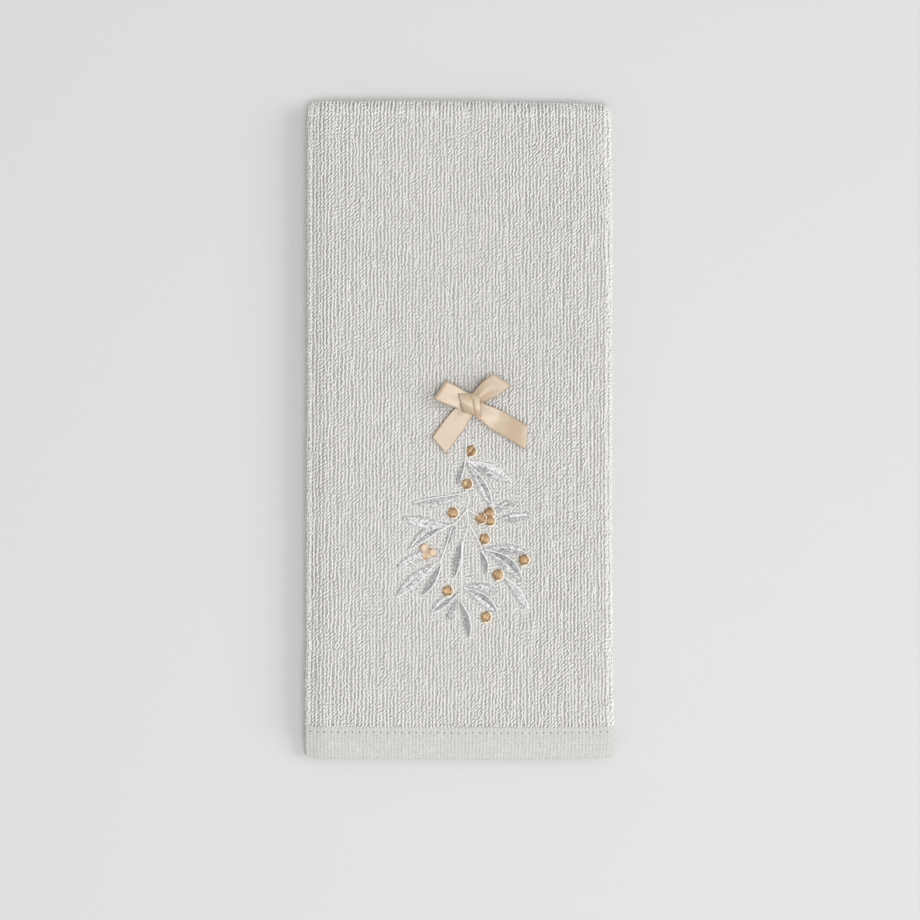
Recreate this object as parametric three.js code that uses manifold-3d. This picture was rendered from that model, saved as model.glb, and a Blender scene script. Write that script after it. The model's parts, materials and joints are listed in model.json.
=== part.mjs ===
// A terry tea towel with a satin ribbon bow sewn to its front, folded as it is put on a shelf:
// both sides are turned behind the middle third, and the strip is then doubled across its length.
// Millimetres. X runs across the towel, Y along it towards the doubled end, and Z up from the
// surface it lies on. The origin is the middle of the footprint, on that surface.
import * as THREE from "three";
import { mergeVertices } from "three/addons/utils/BufferGeometryUtils.js";
import Module from "manifold-3d";

const { lerp, smoothstep, degToRad } = THREE.MathUtils;
const wasm = await Module();
wasm.setup();

// The cloth laid flat
const CLOTH_WIDTH = 400;
const CLOTH_LENGTH = 600;
const PILE_THICKNESS = 2.0; // ground weave with looped pile on both faces
const HEM_THICKNESS = 1.4; // flat weave turned under twice
const HEM_DEPTH = 15.6;
const HEM_STEP = 0.6; // over this length the cloth changes from hem to pile, or thins to its edge
const EDGE_THICKNESS = 0.8;

// The towel as folded
const FOLDED_WIDTH = 140.8;
const FOLDED_LENGTH = 305;
const LAYER_GAP = 0.3;

// The ribbon of the bow
const RIBBON_WIDTH = 10;
const RIBBON_THICKNESS = 1;
const SEAT_GAP = 0.3; // between the bow and the pile it is sewn to
const CROWN = 0.5; // how far the upper ply of a loop arches
const KNOT_GATHER = [0.25, 0.8]; // a loop widens over this stretch of its length
const TAIL_SPREAD = [0.1, 0.5]; // and a tail over this one

// What follows from those sizes
const PITCH = PILE_THICKNESS + LAYER_GAP; // from one layer's middle to the next
const LEFT_RADIUS = PITCH / 2; // the left flap lies straight under the front panel
const RIGHT_RADIUS = PITCH; // the right flap lies under the left one
const OUTER_BEND = 2.5 * PITCH; // the front panel's middle, round the doubled end
const LEFT_X = -FOLDED_WIDTH / 2 + LEFT_RADIUS + PILE_THICKNESS / 2;
const RIGHT_X = FOLDED_WIDTH / 2 - RIGHT_RADIUS - PILE_THICKNESS / 2;
const FLAP_LENGTH =
  (CLOTH_WIDTH - (RIGHT_X - LEFT_X) - Math.PI * (LEFT_RADIUS + RIGHT_RADIUS)) / 2;
const RIGHT_FLAP_EDGE = RIGHT_X - FLAP_LENGTH;
const FRONT_Y = -FOLDED_LENGTH / 2;
const BEND_Y = FOLDED_LENGTH / 2 - OUTER_BEND - PILE_THICKNESS / 2;
const FRONT_RUN = BEND_Y - FRONT_Y;

// Layers that take a wider way round the bend have less length left for the back half.
const backRun = (depth) => CLOTH_LENGTH - FRONT_RUN - Math.PI * (OUTER_BEND - depth);

// The layers of the stack, from the surface up. Depth is counted from the outermost layer in.
const DEPTHS = [0, PITCH, 2 * PITCH];
const BACK_LAYERS = DEPTHS.map((depth) => ({ depth, endY: BEND_Y - backRun(depth) }));
const FRONT_LAYERS = DEPTHS.toReversed().map((depth) => ({ depth, endY: FRONT_Y }));
const LAYERS = [...BACK_LAYERS, ...FRONT_LAYERS];

// The outline seen from above: how far each long side and each end strays from a true rectangle
const SIDES = [
  { y: -152.5, left: -0.7, right: 1.1 },
  { y: -145, left: -1.3, right: 1.6 },
  { y: -131, left: -1.1, right: 0.9 },
  { y: -100, left: -0.6, right: 0.4 },
  { y: -40, left: -0.4, right: 0.0 },
  { y: 40, left: -0.1, right: 0.0 },
  { y: 90, left: -0.1, right: 0.2 },
  { y: 138, left: 0.1, right: -0.5 },
  { y: 152.5, left: 1.2, right: -1.4 },
];
const ENDS = [
  { x: -70, fold: -1.4, hem: 1.1 },
  { x: -62, fold: -0.1, hem: 0.6 },
  { x: -28, fold: 0.0, hem: 0.2 },
  { x: 0, fold: -0.2, hem: 0.0 },
  { x: 28, fold: -0.8, hem: -0.1 },
  { x: 58, fold: -1.3, hem: 0.4 },
  { x: 70, fold: -2.6, hem: 1.0 },
];
const END_REACH = 40; // how far an end's waver runs into the towel

// How the stack settles
const DROOP_LENGTH = 10; // a layer sinks to the surface this far past the end of one below it
const SIDE_HOLD = 0.5; // share of a missing flap's height that the left fold still holds up
const HEM_EASE = 8; // over this length the layers above follow the step down to a hem
const RIDGE_HEIGHT = 0.4; // soft ridges that run down from the doubled end
const RIDGE_WIDTH = 41;
const RIDGE_X = 9;
const RIDGE_REACH = 120;
const PUCKER_HEIGHT = 0.35; // the seam draws the hem up a little
const PUCKER_WIDTH = 35;
const PUCKER_X = 10;
const PUCKER_REACH = 31;

// The bow. Each loop and tail runs from the knot to its far end, and starts at its own rise over
// the pile, the tails lowest. Slant turns the far end off square, in degrees.
const KNOT = { x: 4.7, y: 12.4 };
const LOOPS = [
  { x: -9.2, y: 18.9, slant: -9.5, nearWidth: 7.6, farWidth: 10.2, height: 3.8, rise: 1.1 },
  { x: 19.7, y: 23.4, slant: 20.7, nearWidth: 5.2, farWidth: 9.8, height: 4.0, rise: 1.35 },
];
const TAILS = [
  { x: -9.4, y: -6.7, slant: -13.5, nearWidth: 8.6, rise: 0.1 },
  { x: 31.0, y: -3.1, slant: 25.5, nearWidth: 6.0, rise: 0.5 },
];
// The knot is one turn of ribbon with a slanting crease, so it shows as two lobes.
const KNOT_LOBES = [
  { x: 2.9, y: 12.3, halfWidth: 3.3, halfLength: 4.5, height: 5.2, angle: 12 },
  { x: 7.4, y: 12.8, halfWidth: 2.3, halfLength: 5.2, height: 5.6, angle: -14 },
];

// Steps of the meshes
const FLAP_STEPS = 5;
const PANEL_STEPS = 14;
const FOLD_STEPS = 6;
const FRONT_STEPS = 12;
const BACK_STEPS = 10;
const BEND_STEPS = 8;
const LOOP_STEPS = 7;
const TURN_STEPS = 4;
const TAIL_STEPS = 7;
const RIBBON_STEPS_ACROSS = 4;
const FINEST_EDGE = 0.02;

const clothMaterial = new THREE.MeshStandardMaterial({ color: 0xd9d6ce, roughness: 0.95, metalness: 0 });
const ribbonMaterial = new THREE.MeshStandardMaterial({ color: 0xe6cdb0, roughness: 0.35, metalness: 0 });

// A table's column at any place, eased from row to row
function read(table, key, at, column) {
  const next = table.findIndex((row) => row[key] >= at);
  if (next === 0) return table[0][column];
  if (next < 0) return table[table.length - 1][column];
  const [a, b] = [table[next - 1], table[next]];
  return lerp(a[column], b[column], smoothstep(at, a[key], b[key]));
}

// The thickness that layers above a hem have to follow
function easedThickness(fromEnd) {
  return lerp(HEM_THICKNESS, PILE_THICKNESS, smoothstep(fromEnd, HEM_DEPTH - HEM_EASE, HEM_DEPTH));
}

// The heights of all the layers' middles over a point of the plan, from the surface up
function layerHeights(x, y) {
  let floor = 0;
  return LAYERS.map(({ depth, endY }) => {
    const thickness = easedThickness(y - endY);
    const middle = floor + thickness / 2;
    const along = smoothstep(y - endY, -DROOP_LENGTH, 0);
    const isRightFlap = depth === 2 * PITCH;
    const across = isRightFlap ? lerp(SIDE_HOLD, 1, smoothstep(x, -FOLDED_WIDTH / 2, RIGHT_FLAP_EDGE)) : 1;
    floor += (thickness + LAYER_GAP) * along * across;
    return middle;
  });
}

// The height at any depth into the front half or the back half, in the folds too
function heightAt(x, y, depth, isBack) {
  const heights = layerHeights(x, y);
  const three = isBack ? heights.slice(0, 3) : heights.slice(3).toReversed();
  const upper = Math.min(Math.floor(depth / PITCH), 1);
  return lerp(three[upper], three[upper + 1], depth / PITCH - upper);
}

// The soft unevenness of the stack, as a share to raise every height by
function swell(x, y) {
  const fromHem = y - FRONT_Y;
  const fromFold = FOLDED_LENGTH / 2 - y;
  const wave = (from, width) => 0.5 + 0.5 * Math.cos((2 * Math.PI * (x - from)) / width);
  const ridges = RIDGE_HEIGHT * wave(RIDGE_X, RIDGE_WIDTH) * (1 - smoothstep(fromFold, 0, RIDGE_REACH));
  const puckers = PUCKER_HEIGHT * wave(PUCKER_X, PUCKER_WIDTH) * (1 - smoothstep(fromHem, 0, PUCKER_REACH));
  return 1 + (ridges + puckers) / (LAYERS.length * PITCH);
}

// A point of the true folded stack, moved to where the uneven towel has it
function lay(x, y, z) {
  const acrossShare = x / FOLDED_WIDTH + 0.5;
  const side = lerp(read(SIDES, "y", y, "left"), read(SIDES, "y", y, "right"), acrossShare);
  const atFold = smoothstep(y, FOLDED_LENGTH / 2 - END_REACH, FOLDED_LENGTH / 2 - OUTER_BEND);
  const atHem = 1 - smoothstep(y, FRONT_Y, FRONT_Y + END_REACH);
  const end = atFold * read(ENDS, "x", x, "fold") + atHem * read(ENDS, "x", x, "hem");
  return new THREE.Vector3(x + side, y + end, z * swell(x, y));
}

// A closed solid between two grids of points, outer[row][column] and inner[row][column]
function solidBetween(outer, inner) {
  const [rows, columns] = [outer.length, outer[0].length];
  const points = [...outer.flat(), ...inner.flat()];
  const at = (grid, row, column) => grid * rows * columns + row * columns + column;
  const faces = [];
  const quad = (a, b, c, d) => faces.push(a, b, c, a, c, d);
  for (let i = 0; i < rows - 1; i++)
    for (let j = 0; j < columns - 1; j++) {
      quad(at(0, i, j), at(0, i, j + 1), at(0, i + 1, j + 1), at(0, i + 1, j));
      quad(at(1, i, j), at(1, i + 1, j), at(1, i + 1, j + 1), at(1, i, j + 1));
    }
  for (let i = 0; i < rows - 1; i++) {
    quad(at(0, i, 0), at(0, i + 1, 0), at(1, i + 1, 0), at(1, i, 0));
    quad(at(0, i + 1, columns - 1), at(0, i, columns - 1), at(1, i, columns - 1), at(1, i + 1, columns - 1));
  }
  for (let j = 0; j < columns - 1; j++) {
    quad(at(0, 0, j + 1), at(0, 0, j), at(1, 0, j), at(1, 0, j + 1));
    quad(at(0, rows - 1, j), at(0, rows - 1, j + 1), at(1, rows - 1, j + 1), at(1, rows - 1, j));
  }
  return new THREE.BufferGeometry().setFromPoints(points).setIndex(faces);
}

// Across the cloth, from the left flap's free edge to the right flap's: the middle of the layer,
// its depth below the front panel, and the way its outer face looks.
function straight(fromX, toX, depth, outDepth, steps) {
  return Array.from({ length: steps + 1 }, (_, i) => ({
    x: lerp(fromX, toX, i / steps),
    depth,
    outX: 0,
    outDepth,
  }));
}

function sideFold(centreX, centreDepth, radius, way) {
  return Array.from({ length: FOLD_STEPS - 1 }, (_, i) => {
    const angle = (Math.PI * (i + 1)) / FOLD_STEPS;
    const [outX, outDepth] = [way * Math.sin(angle), -way * Math.cos(angle)];
    return { x: centreX + radius * outX, depth: centreDepth + radius * outDepth, outX, outDepth };
  });
}

function acrossTheCloth() {
  return [
    ...straight(LEFT_X + FLAP_LENGTH, LEFT_X, PITCH, 1, FLAP_STEPS),
    ...sideFold(LEFT_X, LEFT_RADIUS, LEFT_RADIUS, -1),
    ...straight(LEFT_X, RIGHT_X, 0, -1, PANEL_STEPS),
    ...sideFold(RIGHT_X, RIGHT_RADIUS, RIGHT_RADIUS, 1),
    ...straight(RIGHT_X, RIGHT_X - FLAP_LENGTH, 2 * PITCH, 1, FLAP_STEPS),
  ];
}

// Along the cloth, from the front hem round the bend to the back hem
const HEM_ROWS = [
  { fromEnd: 0, thickness: EDGE_THICKNESS },
  { fromEnd: HEM_STEP, thickness: HEM_THICKNESS },
  { fromEnd: HEM_DEPTH / 3, thickness: HEM_THICKNESS },
  { fromEnd: (2 * HEM_DEPTH) / 3, thickness: HEM_THICKNESS },
  { fromEnd: HEM_DEPTH - HEM_STEP, thickness: HEM_THICKNESS },
  { fromEnd: HEM_DEPTH, thickness: PILE_THICKNESS },
];

function alongTheCloth() {
  const pile = (steps, place) =>
    Array.from({ length: steps }, (_, i) => ({ ...place((i + 1) / steps), thickness: PILE_THICKNESS }));
  const front = HEM_ROWS.map((row) => ({ run: "front", share: row.fromEnd / FRONT_RUN, ...row }));
  const hemShare = HEM_DEPTH / FRONT_RUN;
  return [
    ...front,
    ...pile(FRONT_STEPS, (share) => ({ run: "front", share: lerp(hemShare, 1, share) })),
    ...pile(BEND_STEPS, (share) => ({ run: "bend", share })),
    ...pile(BACK_STEPS - 1, (share) => ({ run: "back", share: share * (1 - 1 / BACK_STEPS) })),
    ...HEM_ROWS.toReversed().map((row) => ({ run: "backHem", ...row })),
  ];
}

function folded({ x, depth, outX, outDepth }, row, outwards) {
  const offset = (outwards * row.thickness) / 2;
  const [outer, rise] = [x + offset * outX, -offset * outDepth];
  if (row.run === "front") {
    const y = FRONT_Y + row.share * FRONT_RUN;
    return lay(outer, y, heightAt(x, y, depth, false) + rise);
  }
  if (row.run === "bend") {
    const angle = Math.PI * row.share;
    const [top, bottom] = [heightAt(x, BEND_Y, depth, false), heightAt(x, BEND_Y, depth, true)];
    const y = BEND_Y + (OUTER_BEND - depth + rise) * Math.sin(angle);
    return lay(outer, y, (top + bottom) / 2 + ((top - bottom) / 2 + rise) * Math.cos(angle));
  }
  const run = backRun(depth);
  const y = BEND_Y - (row.run === "back" ? row.share * (run - HEM_DEPTH) : run - row.fromEnd);
  return lay(outer, y, heightAt(x, y, depth, true) - rise);
}

function towel() {
  const rows = alongTheCloth();
  const sections = acrossTheCloth();
  const grid = (outwards) => rows.map((row) => sections.map((section) => folded(section, row, outwards)));
  return solidBetween(grid(1), grid(-1));
}

// The pile's height under a point of the bow
const pileTop = (x, y) => (heightAt(x, y, 0, false) + PILE_THICKNESS / 2) * swell(x, y);

// A band of ribbon through stations, each with its middle, height above the pile, the direction
// across the ribbon, its width there and the tilt of its face round that direction
function band(stations) {
  const grid = (side) =>
    stations.map(({ x, y, height, across, width, tilt, heading }) =>
      Array.from({ length: RIBBON_STEPS_ACROSS + 1 }, (_, j) => {
        const w = width * (j / RIBBON_STEPS_ACROSS - 0.5);
        const [px, py] = [x + w * Math.cos(across), y + w * Math.sin(across)];
        const reach = (side * RIBBON_THICKNESS) / 2;
        const out = reach * Math.sin(tilt);
        return new THREE.Vector3(
          px + out * Math.cos(heading),
          py + out * Math.sin(heading),
          pileTop(x, y) + SEAT_GAP + RIBBON_THICKNESS / 2 + height + reach * Math.cos(tilt),
        );
      }),
    );
  return solidBetween(grid(1), grid(-1));
}

// A loop runs out on top, turns down at its far end and comes back underneath.
function loop({ x, y, slant, nearWidth, farWidth, height, rise }) {
  const heading = Math.atan2(y - KNOT.y, x - KNOT.x);
  const square = heading - Math.PI / 2;
  const radius = (height - RIBBON_THICKNESS) / 2;
  const length = Math.hypot(x - KNOT.x, y - KNOT.y) - radius;
  const station = (share, beyond, level, tilt) => ({
    x: KNOT.x + (share * length + beyond) * Math.cos(heading),
    y: KNOT.y + (share * length + beyond) * Math.sin(heading),
    height: level,
    across: square + share * degToRad(slant),
    width: lerp(nearWidth, farWidth, smoothstep(share, ...KNOT_GATHER)),
    tilt,
    heading,
  });
  const shares = Array.from({ length: LOOP_STEPS + 1 }, (_, i) => i / LOOP_STEPS);
  const crown = (share) => 2 * radius + CROWN * Math.sin(Math.PI * share);
  const base = (share) => rise * (1 - share);
  const turn = Array.from({ length: TURN_STEPS - 1 }, (_, i) => (Math.PI * (i + 1)) / TURN_STEPS);
  return band([
    ...shares.map((share) => station(share, 0, crown(share), 0)),
    ...turn.map((a) => station(1, radius * Math.sin(a), radius * (1 + Math.cos(a)), a)),
    ...shares.toReversed().map((share) => station(share, 0, base(share), Math.PI)),
  ]);
}

// A tail drops from the knot onto the pile, and its end is cut at a slant.
function tail({ x, y, slant, nearWidth, rise }) {
  const heading = Math.atan2(y - KNOT.y, x - KNOT.x);
  const square = heading - Math.PI / 2;
  const stations = Array.from({ length: TAIL_STEPS + 1 }, (_, i) => {
    const share = i / TAIL_STEPS;
    const turned = degToRad(slant) * smoothstep(share, 0.5, 1);
    const width = lerp(nearWidth, RIBBON_WIDTH, smoothstep(share, ...TAIL_SPREAD));
    return {
      x: lerp(KNOT.x, x, share),
      y: lerp(KNOT.y, y, share),
      height: rise * (1 - share) * (1 - share),
      across: square + turned,
      width: width / Math.cos(turned),
      tilt: 0,
      heading,
    };
  });
  return band(stations);
}

function knotLobe({ x, y, halfWidth, halfLength, height, angle }) {
  const middle = pileTop(x, y) + SEAT_GAP + height / 2;
  return new THREE.SphereGeometry(1, 20, 12)
    .rotateX(Math.PI / 2)
    .scale(halfWidth, halfLength, height / 2)
    .rotateZ(degToRad(angle))
    .translate(x, y, middle);
}

// Joins a piece's geometries into one solid's geometry
function joined(geometries) {
  const solids = geometries.map((geometry) => {
    const bare = geometry.clone();
    bare.deleteAttribute("normal");
    bare.deleteAttribute("uv");
    const merged = mergeVertices(bare, 1e-4);
    const mesh = new wasm.Mesh({
      numProp: 3,
      vertProperties: merged.attributes.position.array,
      triVerts: new Uint32Array(merged.index.array),
    });
    return new wasm.Manifold(mesh);
  });
  const whole = solids.reduce((sum, solid) => sum.add(solid)).simplify(FINEST_EDGE);
  const { vertProperties, triVerts } = whole.getMesh();
  return new THREE.BufferGeometry()
    .setAttribute("position", new THREE.BufferAttribute(vertProperties, 3))
    .setIndex(new THREE.BufferAttribute(triVerts, 1));
}

function named(name, geometry, material) {
  geometry.computeVertexNormals();
  const mesh = new THREE.Mesh(geometry, material);
  mesh.name = name;
  return mesh;
}

const cloth = named("towel", towel(), clothMaterial);
const bow = named(
  "ribbon_bow",
  joined([...LOOPS.map(loop), ...TAILS.map(tail), ...KNOT_LOBES.map(knotLobe)]),
  ribbonMaterial,
);

// The outline's waver leaves the footprint a little off centre, so the part moves onto the origin.
const part = new THREE.Group();
part.add(cloth, bow);
const footprint = new THREE.Box3().setFromObject(cloth);
const middle = footprint.getCenter(new THREE.Vector3());
part.position.set(-middle.x, -middle.y, -footprint.min.z);

export default part;
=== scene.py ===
# %% [markdown]
# # A folded terry tea towel with a ribbon bow
# The real thing is one length of looped cotton with two flat hems. It is turned in from both
# sides behind its middle third and doubled across. A satin bow and an embroidered sprig are
# sewn to the panel that shows. The script lays the cloth, stands its loops up, sews the hem,
# ties the ribbon and stitches the sprig.
# The measured model comes first, so that every piece lies in the same frame as its solids.

import json
import math
from collections import namedtuple

import bpy
import numpy as np
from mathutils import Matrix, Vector

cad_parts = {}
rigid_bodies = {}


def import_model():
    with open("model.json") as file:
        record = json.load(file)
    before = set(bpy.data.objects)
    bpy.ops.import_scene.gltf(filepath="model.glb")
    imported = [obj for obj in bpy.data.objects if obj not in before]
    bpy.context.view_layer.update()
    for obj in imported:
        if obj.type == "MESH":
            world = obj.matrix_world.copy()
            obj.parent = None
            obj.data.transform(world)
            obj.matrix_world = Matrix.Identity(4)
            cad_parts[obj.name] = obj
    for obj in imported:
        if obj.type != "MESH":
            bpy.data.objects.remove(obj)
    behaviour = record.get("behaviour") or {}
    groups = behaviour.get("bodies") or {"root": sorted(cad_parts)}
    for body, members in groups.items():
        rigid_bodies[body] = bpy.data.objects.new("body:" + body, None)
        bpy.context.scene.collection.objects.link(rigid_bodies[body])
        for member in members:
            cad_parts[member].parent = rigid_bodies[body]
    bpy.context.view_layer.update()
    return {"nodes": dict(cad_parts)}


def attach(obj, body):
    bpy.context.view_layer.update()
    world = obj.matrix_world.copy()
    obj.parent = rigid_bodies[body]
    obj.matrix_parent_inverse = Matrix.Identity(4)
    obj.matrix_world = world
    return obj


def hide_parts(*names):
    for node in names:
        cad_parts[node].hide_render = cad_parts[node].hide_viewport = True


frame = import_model()
MM = 0.001
print("solids:", sorted(frame["nodes"]))

# %% [markdown]
# ## Sizes of the folded cloth
# These are the sizes the solids were made from, in millimetres. The loops are real pieces here,
# so the ground weave they stand on lies lower than the smooth face of the solid.

# %% Sizes
CLOTH_WIDTH, CLOTH_LENGTH = 400.0, 600.0
PILE_THICKNESS, HEM_THICKNESS, HEM_DEPTH = 2.0, 1.4, 15.6
FOLDED_WIDTH, FOLDED_LENGTH, LAYER_GAP = 140.8, 305.0, 0.3
RIBBON_WIDTH = 10.0
GROUND = 0.0  # ground weave's outer face, from the middle of the layer

PITCH = PILE_THICKNESS + LAYER_GAP
LEFT_RADIUS, RIGHT_RADIUS, OUTER_BEND = PITCH / 2, PITCH, 2.5 * PITCH
LEFT_X = -FOLDED_WIDTH / 2 + LEFT_RADIUS + PILE_THICKNESS / 2
RIGHT_X = FOLDED_WIDTH / 2 - RIGHT_RADIUS - PILE_THICKNESS / 2
FLAP_LENGTH = (CLOTH_WIDTH - (RIGHT_X - LEFT_X) - math.pi * (LEFT_RADIUS + RIGHT_RADIUS)) / 2
RIGHT_FLAP_EDGE = RIGHT_X - FLAP_LENGTH
FRONT_Y = -FOLDED_LENGTH / 2
BEND_Y = FOLDED_LENGTH / 2 - OUTER_BEND - PILE_THICKNESS / 2
FRONT_RUN = BEND_Y - FRONT_Y

print("flap length", round(FLAP_LENGTH, 1), "mm")

# %% [markdown]
# ## How the cloth folds
# A cloth simulation could drop the towel into its folds, but six layers of thick terry need many
# steps to settle and leave creases that nobody chose. The folds here are so regular that each
# point of the flat cloth can be sent straight to its place: across the cloth it goes round the
# two side folds, and along the cloth round the doubled end. Each layer lies on the thickness of
# those below it.

# %% The folding rule
def ease(value, low, high):
    share = np.clip((value - low) / (high - low), 0.0, 1.0)
    return share * share * (3.0 - 2.0 * share)


def read(table, at, column):
    at = np.asarray(at, dtype=float)
    row = np.clip(np.searchsorted(table[:, 0], at) - 1, 0, len(table) - 2)
    low, high = table[row, column], table[row + 1, column]
    return low + (high - low) * ease(at, table[row, 0], table[row + 1, 0])


def back_run(depth):
    return CLOTH_LENGTH - FRONT_RUN - math.pi * (OUTER_BEND - depth)

# %% [markdown]
# ## Six layers
# Each layer rests on those below it, which are thinner at their hems and end at different places.
# Past the end of a layer the ones above sink a little, so the open end droops.

# %% Height of each layer
DROOP_LENGTH, SIDE_HOLD, HEM_EASE = 10.0, 0.5, 8.0
DEPTHS = (0.0, PITCH, 2 * PITCH)
LAYERS = [(d, BEND_Y - back_run(d)) for d in DEPTHS] + [(d, FRONT_Y) for d in reversed(DEPTHS)]


def layer_heights(x, y):
    floor, heights = 0.0 * (x + y), []
    for depth, end_y in LAYERS:
        from_end = y - end_y
        thickness = HEM_THICKNESS + (PILE_THICKNESS - HEM_THICKNESS) * ease(
            from_end, HEM_DEPTH - HEM_EASE, HEM_DEPTH
        )
        heights.append(floor + thickness / 2)
        held = 1.0
        if depth == 2 * PITCH:
            held = SIDE_HOLD + (1 - SIDE_HOLD) * ease(x, -FOLDED_WIDTH / 2, RIGHT_FLAP_EDGE)
        floor = floor + (thickness + LAYER_GAP) * ease(from_end, -DROOP_LENGTH, 0.0) * held
    return np.stack(heights)


def height_at(x, y, depth, back):
    x, y, depth = np.broadcast_arrays(*(np.asarray(a, dtype=float) for a in (x, y, depth)))
    three = layer_heights(x, y)[:3] if back else layer_heights(x, y)[:2:-1]
    upper = np.clip(np.floor(depth / PITCH), 0, 1)
    share = depth / PITCH - upper
    first = np.where(upper < 1, three[0], three[1])
    second = np.where(upper < 1, three[1], three[2])
    return first + (second - first) * share


print("middle of each layer, mm up:", layer_heights(0.0, 0.0).round(2).tolist())

# %% [markdown]
# ## Not quite a box
# A folded towel bulges in a few soft ridges, puckers near its hem, and its sides and ends wander
# by a millimetre or two. Two short tables say how far, and everything that is laid on the towel
# goes through the same function.

# %% Ridges and wandering sides
# y, then how far the left and the right side stand off a plain rectangle there
SIDES = np.array([
    (-152.5, -1.5, 1.1), (-145, -1.7, 1.6), (-131, -1.1, 0.9), (-100, -0.6, 0.4), (-40, -0.4, 0.0),
    (40, -0.1, 0.0), (90, -0.1, 0.2), (138, 0.0, -0.4), (152.5, 0.4, -0.7),
])
# x, then how far the doubled end and the hem stand off it
ENDS = np.array([
    (-70, -0.6, 0.9), (-62, -0.1, 0.6), (-28, 0.0, 0.2), (0, -0.2, 0.0), (28, -0.8, -0.1),
    (58, -1.3, 0.3), (70, -1.8, 0.8),
])
END_REACH = 40.0
RIDGE_HEIGHT, RIDGE_WIDTH, RIDGE_X, RIDGE_REACH = 0.4, 41.0, 9.0, 120.0
PUCKER_HEIGHT, PUCKER_WIDTH, PUCKER_X, PUCKER_REACH = 0.35, 35.0, 10.0, 31.0


def soft_wave(x, start, width):
    return 0.5 + 0.5 * np.cos(2 * math.pi * (x - start) / width)


def swell(x, y):
    from_hem, from_fold = y - FRONT_Y, FOLDED_LENGTH / 2 - y
    ridges = RIDGE_HEIGHT * soft_wave(x, RIDGE_X, RIDGE_WIDTH) * (1 - ease(from_fold, 0, RIDGE_REACH))
    puckers = PUCKER_HEIGHT * soft_wave(x, PUCKER_X, PUCKER_WIDTH)
    puckers = puckers * (1 - ease(from_hem, 0, PUCKER_REACH))
    return 1 + (ridges + puckers) / (len(LAYERS) * PITCH)


def lay(x, y, z):
    across = x / FOLDED_WIDTH + 0.5
    left, right = read(SIDES, y, 1), read(SIDES, y, 2)
    at_fold = ease(y, FOLDED_LENGTH / 2 - END_REACH, FOLDED_LENGTH / 2 - OUTER_BEND)
    at_hem = 1 - ease(y, FRONT_Y, FRONT_Y + END_REACH)
    end = at_fold * read(ENDS, x, 1) + at_hem * read(ENDS, x, 2)
    return np.stack([x + left + (right - left) * across, y + end, z * swell(x, y)], axis=-1)


print("left front corner at", lay(-FOLDED_WIDTH / 2, FRONT_Y, 0.0).round(1).tolist())

# %% [markdown]
# ## Walking over the cloth
# A place on the cloth is a section, across it, and a row, along it. Both the cloth's mesh and the
# loops walk over the same sections and rows, only at different steps, so the loops always stand on
# the cloth.

# %% Sections, rows and their points
def straight(x, depth, out_depth):
    flat = np.zeros_like(x)
    return np.stack([x, flat + depth, flat, flat + out_depth], axis=-1)


def side_fold(centre_x, centre_depth, radius, way, angles):
    out_x, out_depth = way * np.sin(angles), -way * np.cos(angles)
    x, depth = centre_x + radius * out_x, centre_depth + radius * out_depth
    return np.stack([x, depth, out_x, out_depth], axis=-1)


def left_fold(angles):
    return side_fold(LEFT_X, LEFT_RADIUS, LEFT_RADIUS, -1, angles)


def right_fold(angles):
    return side_fold(RIGHT_X, RIGHT_RADIUS, RIGHT_RADIUS, 1, angles)


def along_front(from_hem):
    return ("front", from_hem)


def folded(sections, row, offset):
    """Points of one row, offset millimetres out from the middle of the cloth."""
    x, depth, out_x, out_depth = sections.T
    run, value = row
    outer, rise = x + offset * out_x, -offset * out_depth
    if run == "front":
        y = FRONT_Y + value
        return lay(outer, y + 0 * x, height_at(x, y, depth, False) + rise)
    if run == "bend":
        top, bottom = height_at(x, BEND_Y, depth, False), height_at(x, BEND_Y, depth, True)
        y = BEND_Y + (OUTER_BEND - depth + rise) * math.sin(value)
        return lay(outer, y, (top + bottom) / 2 + ((top - bottom) / 2 + rise) * math.cos(value))
    y = BEND_Y - (value * (back_run(depth) - HEM_DEPTH) if run == "back" else back_run(depth) - value)
    return lay(outer, y, height_at(x, y, depth, True) - rise)


def distance_along(row):
    """How far a row of the front panel lies from the front hem, along the cloth."""
    run, value = row
    if run == "front":
        return value
    if run == "bend":
        return FRONT_RUN + value * OUTER_BEND
    along_back = value * back_run(0) if run == "back" else back_run(0) - value
    return FRONT_RUN + math.pi * OUTER_BEND + along_back

# %% [markdown]
# ## The relief of the front panel
# The embroidery hoop leaves a soft ring pressed round the sprig, and a washed towel never lies
# perfectly flat. Both are only tenths of a millimetre, but the light comes in low enough to
# show them.

# %% Relief
HOOP_X, HOOP_Y, HOOP_RADIUS, HOOP_WIDTH, HOOP_DEPTH = 6.0, -16.0, 57.0, 5.0, 0.3
HOOP_STRETCH = 0.8
SLACK_HEIGHT, SLACK_START, SLACK_END = 0.35, 20.0, 90.0
SLACK_ACROSS, SLACK_ALONG, SLACK_DRIFT, SLACK_BEND, SLACK_SWAY = 13.0, 61.0, 90.0, 47.0, 1.5


def relief(x, y):
    from_hoop = np.hypot(x - HOOP_X, (y - HOOP_Y) * HOOP_STRETCH) - HOOP_RADIUS
    highlight_ring = -HOOP_DEPTH * np.exp(-((from_hoop / HOOP_WIDTH) ** 2))
    slack = np.sin(x / SLACK_ACROSS + SLACK_SWAY * np.sin(y / SLACK_BEND))
    slack = slack * np.cos(y / SLACK_ALONG + x / SLACK_DRIFT)
    return highlight_ring + SLACK_HEIGHT * slack * ease(y, FRONT_Y + SLACK_START, FRONT_Y + SLACK_END)


print("relief inside the hoop:", round(float(relief(HOOP_X, HOOP_Y)), 2), "mm")

# %% [markdown]
# ## The cloth
# The cloth is one closed sheet between two grids of points. Its outer face is sunk to the ground
# weave wherever loops will stand on it, and stays at full thickness inside the folds, where a
# bumped finish stands for the pile. Attributes carry each point's place on the flat cloth, so
# the weave can follow the cloth round its folds.

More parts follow.
